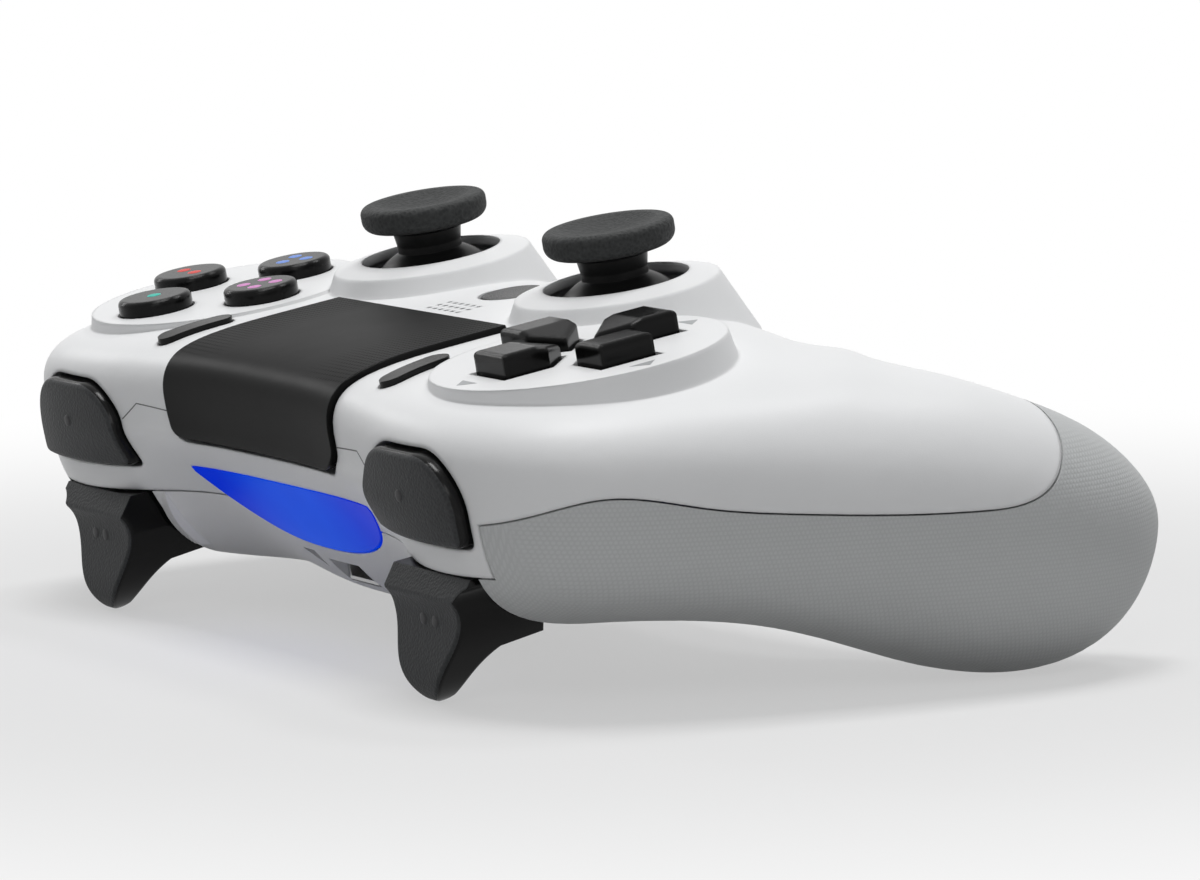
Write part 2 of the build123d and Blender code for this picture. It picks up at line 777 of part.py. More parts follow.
def make_stick(side):
    """Module, gimbal, lever, post with dome, and cap of one stick, about its pivot."""
    at = Pos(side * stick_x, stick_y, pivot_height)
    floor = frame_top + main_board_thickness - pivot_height
    base = box_between(-module_half, module_half, -module_half, module_half, floor, module_rise)
    inner = module_half - module_wall
    base -= box_between(-inner, inner, -inner, inner, floor + module_floor, module_rise)
    pin_hole = Rot(0, 90, 0) * Cylinder(yoke_pin_radius + running_gap, 2 * module_half + 2 * sensor_thickness)
    base -= pin_hole
    sensor_x = box_between(module_half, module_half + sensor_thickness, -sensor_half_width,
                           sensor_half_width, -sensor_drop, sensor_rise) - pin_hole
    sensor_y = box_between(-sensor_half_width, sensor_half_width, module_half,
                           module_half + sensor_thickness, -sensor_drop, sensor_rise)
    pin_length = 2 * module_half + sensor_thickness
    yoke = Box(2 * yoke_half, 2 * yoke_half, 2 * yoke_half_height)
    yoke += Rot(0, 90, 0) * Cylinder(yoke_pin_radius, pin_length)
    hollow = yoke_half - yoke_bar
    yoke -= Box(2 * hollow, 2 * hollow, 2 * yoke_half_height)
    yoke -= Rot(90, 0, 0) * Cylinder(yoke_pin_radius / 2 + running_gap, 2 * yoke_half)
    carriage = Box(2 * carriage_half, 2 * carriage_half, 2 * carriage_half_height)
    carriage += Rot(90, 0, 0) * Cylinder(yoke_pin_radius / 2, 2 * yoke_half)
    carriage -= Cylinder(lever_radius + running_gap, 2 * carriage_half_height + 2 * fine)
    lever = upright_cylinder(0, 0, lever_radius, -lever_drop, lever_top)

    bottom, top = cap_bottom - pivot_height, cap_top - pivot_height
    dome_top = dome_radius
    post_outline = [
        (0, dome_top - 3 * dome_thickness), (post_radius, dome_top - 3 * dome_thickness),
        (post_radius, dome_top), (post_radius + fine, bottom - 2 * fine),
        (post_flare_radius, bottom), (0, bottom),
    ]
    post = spun(post_outline)
    reach = dome_reach_deg * pi / 180
    shell = Sphere(dome_radius) - Sphere(dome_radius - dome_thickness)
    shell &= upright_cylinder(0, 0, dome_radius + fine, dome_radius * cos(reach), dome_radius + fine)
    shell -= upright_cylinder(0, 0, post_radius - fine, 0, dome_radius + fine)
    post += shell
    post -= upright_cylinder(0, 0, lever_radius + running_gap, 0, lever_top + running_gap)

    cap = upright_cylinder(0, 0, cap_radius, bottom, top)
    rims = cap.edges().filter_by(GeomType.CIRCLE).sort_by(Axis.Z)
    cap = fillet(rims[-1], cap_top_edge)
    cap = fillet(cap.edges().filter_by(GeomType.CIRCLE).sort_by(Axis.Z)[0], cap_low_edge)
    dish_reach = cap_radius - 2 * cap_top_edge
    dish_radius = (dish_reach ** 2 + cap_dish ** 2) / (2 * cap_dish)
    cap -= Pos(0, 0, top - cap_dish + dish_radius) * Sphere(dish_radius)
    pieces = {
        "base": base, "sensors": sensor_x + sensor_y, "yoke": yoke, "carriage": carriage,
        "lever": lever, "post": post, "cap": cap,
    }
    return {name: at * piece for name, piece in pieces.items()}


def make_frame():
    z0, z1 = frame_top - frame_thickness, frame_top
    plate = plan_rectangle(-frame_half_width, frame_half_width, frame_rear, frame_front, wall, z0, z1)
    for x in (-disc_x, disc_x):
        plate += upright_cylinder(x, 0, pillar_radius, z0, platform_height)
        plate += upright_cylinder(x, 0, platform_radius, platform_height - platform_thickness,
                                  platform_height)
        plate -= upright_cylinder(x, 0, pillar_radius - pillar_wall, z0, platform_height - platform_thickness)
    board = plan_rectangle(-board_half_width, board_half_width, frame_rear, frame_front - wall, wall,
                           z1, z1 + main_board_thickness)
    hole = Part() + [upright_cylinder(side * screw_spots[0][0], screw_spots[0][1], boss_radius + fine, z0,
                                      z1 + overrun / 2) for side in (-1, 1)]
    around = Part() + [upright_cylinder(x, 0, pillar_radius + fine, z1, z1 + overrun / 4)
                       for x in (-disc_x, disc_x)]
    return plate - hole, board - hole - around


def make_battery():
    top = frame_top - frame_thickness - cell_gap
    cell = plan_rectangle(-battery_half_width, battery_half_width, battery_rear, battery_front, wall,
                          top - battery_thickness, top)
    return cell


def make_motor(side, radius):
    """Motor can with its shaft, and the half-round weight that spins on it."""
    base, top = motor_base_height, motor_base_height + motor_height
    low, high = top + fine, top + fine + weight_thickness
    can = upright_cylinder(0, 0, radius, base, top)
    can += upright_cylinder(0, 0, weight_hub / 2, top, top + weight_thickness)
    weight = upright_cylinder(0, 0, radius - weight_margin, low, high)
    weight &= box_between(-radius, radius, 0, radius, low, high)
    weight += upright_cylinder(0, 0, weight_hub, low, high)
    weight -= upright_cylinder(0, 0, weight_hub / 2 + running_gap, low, high)
    at = Pos(side * motor_x, motor_y, 0)
    return at * can, at * weight


def make_usb():
    """Socket with its tongue, on a small board of its own."""
    w, half, tall = usb_wall, usb_half_width, usb_half_height
    y0, y1 = usb_mouth_y - usb_depth, usb_mouth_y
    socket = box_between(-half, half, y0, y1, usb_z - tall, usb_z + tall)
    socket -= box_between(-half + w, half - w, y0 + w, y1, usb_z - tall + w, usb_z + tall - w)
    socket += box_between(-half + 3 * w, half - 3 * w, y0, y1 - 2 * w, usb_z, usb_z + w)
    board_front = y1 - usb_board_setback
    board = box_between(-2 * half, 2 * half, board_front - usb_board_depth, board_front,
                        usb_z - tall - 2 * fine, usb_z - tall)
    return socket, board


def make_rear_sockets():
    """Headset jack and accessory port in the rear edge, between the grips."""
    level = Pos(jack_x, jack_mouth_y, jack_z) * Rot(90, 0, 0)
    jack = level * Pos(0, 0, -jack_length / 2) * Cylinder(jack_radius, jack_length)
    jack -= level * Pos(0, 0, -jack_bore_length / 2) * Cylinder(jack_bore, jack_bore_length)
    w, half, tall = 2 * usb_wall, port_half_width, port_half_height
    y0, y1 = port_mouth_y, port_mouth_y + port_depth
    port = box_between(-half, half, y0, y1, jack_z - tall, jack_z + tall)
    port -= box_between(-half + w, half - w, y0, y1 - w, jack_z - tall + w, jack_z + tall - w)
    port += box_between(-half + 2 * w, half - 2 * w, y0 + w, y1, jack_z - w / 2, jack_z + w / 2)
    return jack, port


def make_screws():
    shank = screw_cylinders(screw_radius, -wall, screw_length - wall)
    heads = screw_cylinders(screw_head_radius, -wall - screw_head_height, -wall)
    slots = screw_cylinders(screw_radius / 2, -wall - screw_head_height, -wall - screw_head_height / 2)
    return shank + heads - slots


def on_side(shape, side):
    """The piece of the player's right, or its mirror image on the left."""
    return shape if side > 0 else mirror(shape, about=Plane.YZ)


def make_pieces():
    pieces = {}
    pieces["front_shell"], pieces["rear_shell"] = make_shells()
    pieces["mid_frame"], pieces["main_board"] = make_frame()
    pieces["battery_pack"] = make_battery()
    pieces["touch_surface"], pieces["touch_board"] = make_touch()
    pieces["light_bar_lens"], pieces["light_bar_board"] = make_light()
    pieces["usb_socket"], pieces["usb_board"] = make_usb()
    pieces["headset_jack"], pieces["accessory_port"] = make_rear_sockets()
    pieces["speaker"] = make_speaker()
    pieces["dpad"] = make_dpad()
    pieces["dpad_saddle"] = make_saddle()
    pieces["dpad_pad"] = make_pad(-disc_x, key_centre_radius, dpad_dome_height, saddle_radius + 2 * fine)
    pieces["button_pad"] = make_pad(disc_x, face_circle, button_dome_height, 0)
    for name, x, y in face_spots():
        pieces[name] = make_face_button(x, y)
    bumper, trigger = make_bumper(), make_trigger()
    pin, spring = make_trigger_hardware()
    for word, side, radius in (("left", -1, motor_left_radius), ("right", 1, motor_right_radius)):
        pieces[word + "_bumper"] = on_side(bumper, side)
        pieces[word + "_trigger"] = on_side(trigger, side)
        pieces[word + "_trigger_pin"] = on_side(pin, side)
        pieces[word + "_trigger_spring"] = on_side(spring, side)
        pieces[word + "_menu_button"] = make_menu_button(side)
        pieces[word + "_motor_can"], pieces[word + "_motor_weight"] = make_motor(side, radius)
        for name, piece in make_stick(side).items():
            pieces[word + "_stick_" + name] = piece
    pieces["home_button"] = make_home_button()
    pieces["case_screws"] = make_screws()
    return pieces


def rest_location(pieces):
    """Tips the controller onto its trigger tips and grips, with the origin under its middle."""
    tip = Rot(-rest_tilt, 0, 0)
    boxes = [(tip * piece).bounding_box() for piece in pieces.values()]
    low = min(box.min.Z for box in boxes)
    rear, front = min(box.min.Y for box in boxes), max(box.max.Y for box in boxes)
    return Pos(0, -(rear + front) / 2, -low) * tip


def main():
    os.makedirs("parts", exist_ok=True)
    pieces = make_pieces()
    rest = rest_location(pieces)
    for name, piece in pieces.items():
        export_step(rest * piece, "parts/" + name + ".step")


main()
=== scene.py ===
import json
from math import cos, pi, sin

import bpy
from mathutils import Matrix, Vector
from mathutils.bvhtree import BVHTree


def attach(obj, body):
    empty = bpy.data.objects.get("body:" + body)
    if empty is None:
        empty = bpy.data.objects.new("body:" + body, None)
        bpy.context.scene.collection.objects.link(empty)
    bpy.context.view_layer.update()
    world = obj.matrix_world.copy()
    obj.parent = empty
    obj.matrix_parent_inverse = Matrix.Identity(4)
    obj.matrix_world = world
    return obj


# Gamepad controller: the finish of every piece, its printed and moulded marks, camera and light.
# Places on the controller are in millimetres on its level button deck, x to the player's right and
# y forward to the triggers. The frame's joints say where that deck lies in the scene.

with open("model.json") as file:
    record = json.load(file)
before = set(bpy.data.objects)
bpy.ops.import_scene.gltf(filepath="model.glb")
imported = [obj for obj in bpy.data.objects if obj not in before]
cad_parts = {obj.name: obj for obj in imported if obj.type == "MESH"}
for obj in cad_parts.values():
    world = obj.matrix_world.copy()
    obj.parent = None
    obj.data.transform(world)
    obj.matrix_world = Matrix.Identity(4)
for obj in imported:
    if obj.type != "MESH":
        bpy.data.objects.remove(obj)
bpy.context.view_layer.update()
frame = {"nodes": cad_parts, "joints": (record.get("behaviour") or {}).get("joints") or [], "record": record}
mm = 0.001

# Level deck: the hinge of the triggers lies here on it, and the home button presses straight down
hinge_on_deck = Vector((0, 17.0, -18.6))

# Camera, in deck millimetres
camera_place = Vector((-668.9, 336.2, 136.4))
camera_ahead = Vector((0.860, -0.467, -0.204))
camera_up = Vector((0.099, -0.240, 0.966))
focal_length = 177.4
sensor_width = 36.0

# Marks on the two button discs, in deck millimetres
disc_x = 48.0
disc_height = 0.4
above_deck = 8.0
arrow_reach = 15.3
arrow_width = 3.6
arrow_length = 1.9
face_circle = 10.7
pip_radius = 1.0
pip_spacing = 3.2
pip_height = 0.06
pip_row_share = 0.73
print_height = 0.03

# Pips to feel on the shoulder keys and triggers, and the fine panel line, seated from the front
before_front = 45.0
bumper_pip = Vector((47.0, 0, -11.0))
trigger_pip = Vector((46.4, 0, -27.0))
touch_pip_radius = 0.8
touch_pip_height = 0.22
trigger_pip_spacing = 3.0
line_width = 0.16
line_depth = 0.12
line_step = 0.5
panel_line = [(23.7, -8.5), (31.2, -7.9), (34.9, -10.2)]

# The lower casing is smooth up to the first distance from its middle, and all grip from the second; its
# smooth middle is also painted paler, a painted light from below on one plastic
grip_starts = (34.0, 44.0)
grip_dot_pitch = 0.56
grip_dot_radius_share = 0.42

# Lamps: place and side in metres, power in watts
lamps = {
    "overhead_box": ((0.05, 0.00, 1.20), 0.45, 9.2), "front_box": ((-0.90, 0.55, 0.70), 0.40, 1.9),
    "rear_box": ((0.12, -0.55, 1.05), 0.22, 2.3), "side_box": ((1.00, 0.26, 0.52), 0.22, 1.2),
}
lamp_target = Vector((0, 0, 0.03))
ambient_strength = 0.20

# Floor, in metres: it turns from the shadow's tone to white between the two distances
floor_half = 6.0
floor_gap = 0.0002
shadow_reach = 0.08
white_reach = 0.26
least_white = 0.5

joints = {joint["name"]: joint for joint in frame["joints"]}
press = Vector(joints["home_press"]["axis"])
deck_up = -press
deck_right = Vector((1, 0, 0))
deck_forward = deck_up.cross(deck_right)
turn = Matrix((deck_right, deck_forward, deck_up)).transposed()
hinge = Vector(joints["right_trigger_pull"]["pos_m"])
deck_origin = hinge - turn @ (hinge_on_deck * mm)


def on_deck(point):
    """Scene place of a point given in deck millimetres."""
    return deck_origin + turn @ (Vector(point) * mm)


class Reading:
    """One socket of a finish, with arithmetic that adds the Math nodes it needs."""

    def __init__(self, finish, socket):
        self.finish, self.socket = finish, socket

    def maths(self, operation, *others):
        return self.finish.node("ShaderNodeMath", {"operation": operation}, dict(enumerate((self,) + others)))

    def __add__(self, other):
        return self.maths("ADD", other)

    def __radd__(self, other):
        return self.maths("ADD", other)

    def __sub__(self, other):
        return self.maths("SUBTRACT", other)

    def __rsub__(self, other):
        return self.maths("MULTIPLY_ADD", -1.0, other)

    def __mul__(self, other):
        return self.maths("MULTIPLY", other)

    def __rmul__(self, other):
        return self.maths("MULTIPLY", other)

    def __truediv__(self, other):
        return self.maths("DIVIDE", other)

    def __abs__(self):
        return self.maths("ABSOLUTE")

    def __mod__(self, other):
        return self.maths("FLOORED_MODULO", other)

    def floor(self):
        return self.maths("FLOOR")

    def over(self, edge):
        return self.maths("GREATER_THAN", edge)

    def root(self):
        return self.maths("SQRT")

    def rise(self, low, high):
        """0 below low, 1 above high, with a soft step between."""
        return self.finish.node(
            "ShaderNodeMapRange", {"interpolation_type": "SMOOTHSTEP"},
            {"Value": self, "From Min": low, "From Max": high})


class Finish:
    """One material, built from readings over the surface."""

    def __init__(self, name, **constants):
        self.material = bpy.data.materials.new(name)
        self.material.use_nodes = True
        self.tree = self.material.node_tree
        self.shader = self.tree.nodes["Principled BSDF"]
        self.put(**constants)

    def node(self, kind, settings, sockets, out=0):
        made = self.tree.nodes.new(kind)
        for key, value in settings.items():
            setattr(made, key, value)
        for key, value in sockets.items():
            self.feed(made.inputs[key], value)
        return Reading(self, made.outputs[out])

    def feed(self, socket, value):
        if isinstance(value, Reading):
            self.tree.links.new(value.socket, socket)
        elif socket.type == "RGBA" and len(value) == 3:
            socket.default_value = (*value, 1.0)
        else:
            socket.default_value = value

    def put(self, **sockets):
        """Sets sockets of the surface shader; a name's underscores stand for spaces."""
        for name, value in sockets.items():
            self.feed(self.shader.inputs[name.replace("_", " ").title().replace("Ior", "IOR")], value)
        return self

    def places(self):
        """Place on the piece, in metres, as three readings."""
        place = self.node("ShaderNodeTexCoord", {}, {}, out="Object")
        return [self.node("ShaderNodeSeparateXYZ", {}, {0: place}, out=axis) for axis in range(3)]

    def facing(self, direction):
        """How squarely the surface faces a scene direction: 1 square on, 0 edge on."""
        normal = self.node("ShaderNodeTexCoord", {}, {}, out="Normal")
        return self.node("ShaderNodeVectorMath", {"operation": "DOT_PRODUCT"},
                         {0: normal, 1: tuple(direction)}, out="Value")

    def noise(self, grain, detail=2.0, roughness=0.5):
        """Soft noise whose blotches are about grain millimetres across."""
        place = self.node("ShaderNodeTexCoord", {}, {}, out="Object")
        sockets = {"Vector": place, "Scale": 1 / (grain * mm), "Detail": detail, "Roughness": roughness}
        return self.node("ShaderNodeTexNoise", {}, sockets)

    def pebbles(self, grain):
        """Distance from the middles of rounded pebbles about grain millimetres across."""
        place = self.node("ShaderNodeTexCoord", {}, {}, out="Object")
        return self.node("ShaderNodeTexVoronoi", {}, {"Vector": place, "Scale": 1 / (grain * mm)})

    def dots(self, across, along, pitch, radius):
        """Staggered rows of round dots: 1 in a dot, 0 between, from two readings in metres."""
        row = (along / (pitch * mm)).floor()
        shifted = across / (pitch * mm) + (row % 2.0) * 0.5
        u = shifted % 1.0 - 0.5
        v = (along / (pitch * mm)) % 1.0 - 0.5
        return 1.0 - (u * u + v * v).root().rise(radius * 0.7, radius)

    def mix(self, mask, plain, marked):
        """Colour that goes from plain to marked with the mask."""
        return self.node("ShaderNodeMix", {"data_type": "RGBA"}, {0: mask, 6: plain, 7: marked}, out=2)

    def relief(self, height, depth, edge=0.0):
        """Small relief, depth millimetres deep, over edges softened by edge millimetres."""
        sockets = {"Height": height, "Distance": depth * mm}
        if edge:
            sockets["Normal"] = self.node("ShaderNodeBevel", {"samples": 4}, {"Radius": edge * mm})
        self.put(normal=self.node("ShaderNodeBump", {}, sockets))
        return self


def white_shell():
    """Smooth satin casing: very fine spark grain, a little uneven in shine and tone."""
    f = Finish("white_shell", specular_ior_level=0.25)
    tone = f.noise(22.0, 3.0)
    grain = f.noise(0.16, 2.0)
    f.put(base_color=f.mix(tone, (0.77, 0.775, 0.78), (0.81, 0.813, 0.815)))
    f.put(roughness=0.34 + grain * 0.10 + tone * 0.05)
    return f.relief(grain, 0.010, 0.8)


def grip_shell():
    """Lower casing: smooth in the middle and set with tiny dots on the grips; the middle is painted paler
    than the grey grips, standing in for light from below on one plastic.
    """
    f = Finish("grip_shell", specular_ior_level=0.22)
    x, y, z = f.places()
    grip = (abs(x) / mm).rise(*grip_starts)
    side = abs(f.facing((1, 0, 0))).rise(0.45, 0.6)
    flat_dots = f.dots(x, y, grip_dot_pitch, grip_dot_radius_share)
    side_dots = f.dots(y, z, grip_dot_pitch, grip_dot_radius_share)
    dots = (flat_dots * (1.0 - side) + side_dots * side) * grip
    tone = f.noise(18.0, 3.0)
    skin = f.mix(dots * 0.5 + tone * 0.5, (0.49, 0.50, 0.50), (0.57, 0.58, 0.58))
    # Painted light: the smooth middle gets a paler colour than the grips, standing in for light from below on
    # what is one plastic.
    f.put(base_color=f.mix(grip, f.mix(tone, (0.80, 0.80, 0.80), (0.84, 0.84, 0.84)), skin))
    f.put(roughness=0.42 + grip * 0.12 - dots * 0.06 + tone * 0.08)
    return f.relief(dots + f.noise(0.14) * 0.3, 0.018, 0.18)


def dark_plastic():
    """Shoulder keys and triggers: grained grey working faces, polished black walls."""
    f = Finish("dark_plastic", specular_ior_level=0.16)
    face = f.facing(deck_forward).rise(0.50, 0.66)
    pebbles = f.pebbles(0.40)
    tone = f.noise(6.0, 3.0)
    grey = f.mix(pebbles * 0.7 + tone * 0.3, (0.020, 0.021, 0.022), (0.052, 0.054, 0.056))
    f.put(base_color=f.mix(face, (0.004, 0.004, 0.004), grey))
    f.put(roughness=0.13 + face * 0.32 + face * pebbles * 0.14)
    return f.relief(face * pebbles, 0.055, 0.35)


def touch_film():
    """Satin dark film with a polished edge; tiny pressed dots fade towards its middle."""
    f = Finish("touch_film", specular_ior_level=0.05)
    x, y, _ = f.places()
    top = f.facing(deck_up).rise(0.80, 0.95)
    border = (abs(x) / mm).rise(9.0, 20.0)
    dots = f.dots(x, y, 0.70, 0.28) * top * border
    tone = f.noise(9.0, 3.0)
    shade = f.mix(tone, (0.006, 0.006, 0.006), (0.010, 0.010, 0.010))
    f.put(base_color=f.mix(dots, shade, (0.006, 0.006, 0.006)))
    wall = abs(f.facing(deck_right)).rise(0.3, 0.6)
    f.put(roughness=0.38 + tone * 0.08 + dots * 0.2 - wall * 0.24)
    return f.relief(1.0 - dots, 0.030, 0.45)


def gloss_black():
    """Polished black keys with faint moulding waviness and fine rubbing on the tops."""
    f = Finish("gloss_black", specular_ior_level=0.13)
    top = f.facing(deck_up).rise(0.7, 0.95)
    rub = f.noise(0.5, 6.0, 0.7).rise(0.45, 0.75)
    wave = f.noise(2.6, 2.0)
    f.put(base_color=f.mix(top * rub, (0.004, 0.004, 0.004), (0.010, 0.010, 0.011)))
    f.put(roughness=0.13 + top * 0.06 + top * rub * 0.08)
    return f.relief(wave, 0.010, 0.7)


def stick_rubber():
    """Dense rubber with a coarse sanded grain, a little smoother on its upward faces."""
    f = Finish("stick_rubber", specular_ior_level=0.2)
    grain = f.pebbles(0.52)
    fine = f.noise(0.22, 3.0)
    top = f.facing(deck_up).rise(0.5, 0.95)
    f.put(base_color=f.mix(grain * 0.6 + fine * 0.4, (0.014, 0.015, 0.015), (0.056, 0.058, 0.058)))
    f.put(roughness=0.60 + fine * 0.16 - top * 0.08)
    return f.relief(grain + fine * 0.6, 0.110)


def satin_black(name, shade=0.018, roughness=0.34):
    """Plain moulded black for posts, domes and sockets, with a soft spark finish."""
    f = Finish(name, specular_ior_level=0.13)
    spark = f.noise(0.22, 3.0)
    f.put(base_color=f.mix(spark, (shade,) * 3, (shade * 1.5,) * 3))
    f.put(roughness=roughness + spark * 0.12)
    return f.relief(spark, 0.012, 0.2)


def blue_light():
    """Lit lens: deep at its ends, brighter in the middle, with the faint lamps behind it."""
    f = Finish("blue_light", roughness=0.32, specular_ior_level=0.02, emission_strength=1.0)
    x, _, _ = f.places()
    middle = 1.0 - (abs(x) / (24.0 * mm)).rise(0.1, 1.0)
    haze = f.noise(7.0, 2.0)
    f.put(base_color=f.mix(haze, (0.0, 0.012, 0.40), (0.0, 0.022, 0.48)))
    f.put(emission_color=f.mix(middle * 0.8 + haze * 0.2, (0.0, 0.010, 0.36), (0.0, 0.058, 0.46)))
    return f.relief(f.noise(0.3), 0.006)


def board_lacquer():
    """Circuit board: green lacquer with darker copper fields and fine tracks."""
    f = Finish("board_lacquer", roughness=0.3)
    x, y, _ = f.places()
    fields = f.noise(5.0, 4.0).rise(0.45, 0.55)
    tracks = ((x / (1.1 * mm)) % 1.0).over(0.6) * ((y / (7.0 * mm)) % 1.0).over(0.5)
    f.put(base_color=f.mix(fields * 0.5 + tracks * 0.5, (0.008, 0.060, 0.028), (0.020, 0.120, 0.055)))
    return f.relief(tracks, 0.02)


def brushed_metal(name, shade, grain=0.25):
    """Bare metal with drawn streaks and duller patches."""
    f = Finish(name, metallic=1.0)
    streak, patch = f.noise(grain, 5.0, 0.7), f.noise(4.0, 3.0)
    f.put(base_color=f.mix(patch, (shade,) * 3, (shade * 0.8,) * 3))
    f.put(roughness=0.24 + streak * 0.2 + patch * 0.1)
    return f.relief(streak, 0.006)


def moulded(name, dark, light, grain=0.5, roughness=0.5):
    """Inner moulded parts: two close tones and a fine grain."""
    f = Finish(name)
    tone, spark = f.noise(8.0, 3.0), f.noise(grain, 3.0)
    f.put(base_color=f.mix(tone * 0.5 + spark * 0.5, dark, light))
    f.put(roughness=roughness + spark * 0.15)
    return f.relief(spark, 0.02)


def printed(name, colour):
    """Thin printed mark, a little uneven in its ink."""
    f = Finish(name, specular_ior_level=0.15)
    ink = f.noise(0.3, 3.0)
    f.put(base_color=f.mix(ink, colour, tuple(c * 0.8 for c in colour)))
    f.put(roughness=0.35 + ink * 0.1)
    return f


finishes = {
    "shell_white": white_shell(), "shell_grip": grip_shell(), "dark_plastic": dark_plastic(),
    "touch_film": touch_film(), "gloss_black": gloss_black(), "stick_rubber": stick_rubber(),
    "light_blue": blue_light(), "board_green": board_lacquer(),
    "soft_pad": moulded("soft_pad", (0.36, 0.37, 0.38), (0.46, 0.47, 0.48), 0.4, 0.6),
    "frame_plastic": moulded("frame_plastic", (0.030, 0.030, 0.033), (0.055, 0.055, 0.060)),
    "cell_wrap": moulded("cell_wrap", (0.11, 0.12, 0.14), (0.17, 0.18, 0.20), 1.2, 0.35),
    "sensor_green": moulded("sensor_green", (0.02, 0.16, 0.08), (0.04, 0.22, 0.12), 0.4, 0.4),
    "steel": brushed_metal("steel", 0.62), "motor_steel": brushed_metal("motor_steel", 0.5, 0.6),
    "weight_metal": brushed_metal("weight_metal", 0.3, 0.4),
}
stem_black = satin_black("stem_black", 0.010, 0.26)
socket_black = satin_black("socket_black", 0.012, 0.4)
menu_black = satin_black("menu_black", 0.008, 0.14)
own_finish = {
    "left_stick_post": stem_black, "right_stick_post": stem_black,
    "headset_jack": socket_black, "accessory_port": socket_black,
    "left_menu_button": menu_black, "right_menu_button": menu_black, "home_button": menu_black,
}


def dress_frame():
    """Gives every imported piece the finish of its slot, or its own."""
    slots = {part["node"]: part["material_slot"] for part in frame["record"]["subparts"]}
    for name, piece in frame["nodes"].items():
        finish = own_finish.get(name) or finishes[slots[name]]
        piece.data.materials.clear()
        piece.data.materials.append(finish.material)


trees = {}


def seat(node, start, direction):
    """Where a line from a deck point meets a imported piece, with the surface's direction there."""
    if node not in trees:
        mesh = frame["nodes"][node].data
        trees[node] = BVHTree.FromPolygons(
            [v.co.copy() for v in mesh.vertices], [tuple(p.vertices) for p in mesh.polygons])
    place, normal, _, _ = trees[node].ray_cast(on_deck(start), turn @ Vector(direction))
    if place is None:
        raise ValueError("no seat on " + node)
    return place, normal


def piece_from(name, points, faces, finish, body, smooth=False):
    """One scene piece from its points and faces, in its finish, riding on a body."""
    mesh = bpy.data.meshes.new(name)
    mesh.from_pydata([tuple(p) for p in points], [], faces)
    mesh.validate()
    if smooth:
        mesh.shade_smooth()
    mesh.materials.append(finish.material)
    piece = bpy.data.objects.new(name, mesh)
    bpy.context.scene.collection.objects.link(piece)
    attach(piece, body)
    return piece


def plate(outline, base, height):
    """Points and faces of a thin plate over an outline of places, raised along its normal."""
    count = len(outline)
    points = [p - base * 0.5 for p in outline] + [p + height for p in outline]
    faces = [tuple(range(count, 2 * count)), tuple(reversed(range(count)))]
    for index in range(count):
        after = (index + 1) % count
        faces.append((index, after, count + after, count + index))
    return points, faces


def gathered(parts):
    """Several point and face lists as one."""
    points, faces = [], []
    for some_points, some_faces in parts:
        shift = len(points)
        points += some_points
        faces += [tuple(shift + index for index in face) for face in some_faces]
    return points, faces


def domed_dot(place, normal, radius, height, rings=4, sides=20):
    """Low domed dot seated at a place on a surface."""
    across = normal.orthogonal().normalized()
    along = normal.cross(across)
    points, faces = [], []
    for ring in range(rings + 1):
        share = ring / rings
        reach = radius * mm * cos(share * pi / 2)
        lift = height * mm * sin(share * pi / 2) - (print_height * mm if ring == 0 else 0)
        for side in range(sides):
            angle = 2 * pi * side / sides
            points.append(place + across * reach * cos(angle) + along * reach * sin(angle) + normal * lift)
    for ring in range(rings):
        for side in range(sides):
            after = (side + 1) % sides
            low, high = ring * sides, (ring + 1) * sides
            faces.append((low + side, low + after, high + after, high + side))
    return points, faces


def pip_places(count):
    """Middles of one to four pips, as on dice, in millimetres."""
    half = pip_spacing / 2
    return {
        1: [(0, 0)], 2: [(-half, 0), (half, 0)],
        3: [(0, half), (-half, -half * pip_row_share), (half, -half * pip_row_share)],
        4: [(-half, -half), (half, -half), (-half, half), (half, half)],
    }[count]


def mark_face_buttons():
    """One to four coloured pips on the four face buttons."""
    spots = {
        "front": (disc_x, face_circle, (0.03, 0.52, 0.42)),
        "outer": (disc_x + face_circle, 0, (0.74, 0.07, 0.06)),
        "rear": (disc_x, -face_circle, (0.18, 0.32, 0.78)),
        "inner": (disc_x - face_circle, 0, (0.70, 0.28, 0.60)),
    }
    for count, (word, (x, y, colour)) in enumerate(spots.items(), 1):
        parts = []
        for across, along in pip_places(count):
            place, normal = seat("button_" + word, (x + across, y + along, above_deck), (0, 0, -1))
            parts.append(domed_dot(place, normal, pip_radius, pip_height))
        piece_from("pips_" + word, *gathered(parts), printed("ink_" + word, colour), "face_key_" + word, True)


def mark_direction_disc():
    """Small grey arrows outside the four direction keys."""
    parts = []
    for quarter in range(4):
        angle = pi / 2 * quarter
        ahead, across = Vector((cos(angle), sin(angle), 0)), Vector((-sin(angle), cos(angle), 0))
        middle = Vector((-disc_x, 0, disc_height)) + ahead * arrow_reach
        half = across * (arrow_width / 2)
        outline = []
        for corner in (middle - half, middle + ahead * arrow_length, middle + half):
            place, normal = seat("front_shell", corner + Vector((0, 0, above_deck)), (0, 0, -1))
            outline.append(place)
        parts.append(plate(outline, deck_up * print_height * mm, deck_up * print_height * mm))
    piece_from("direction_arrows", *gathered(parts), printed("arrow_grey", (0.42, 0.43, 0.44)), "casing")


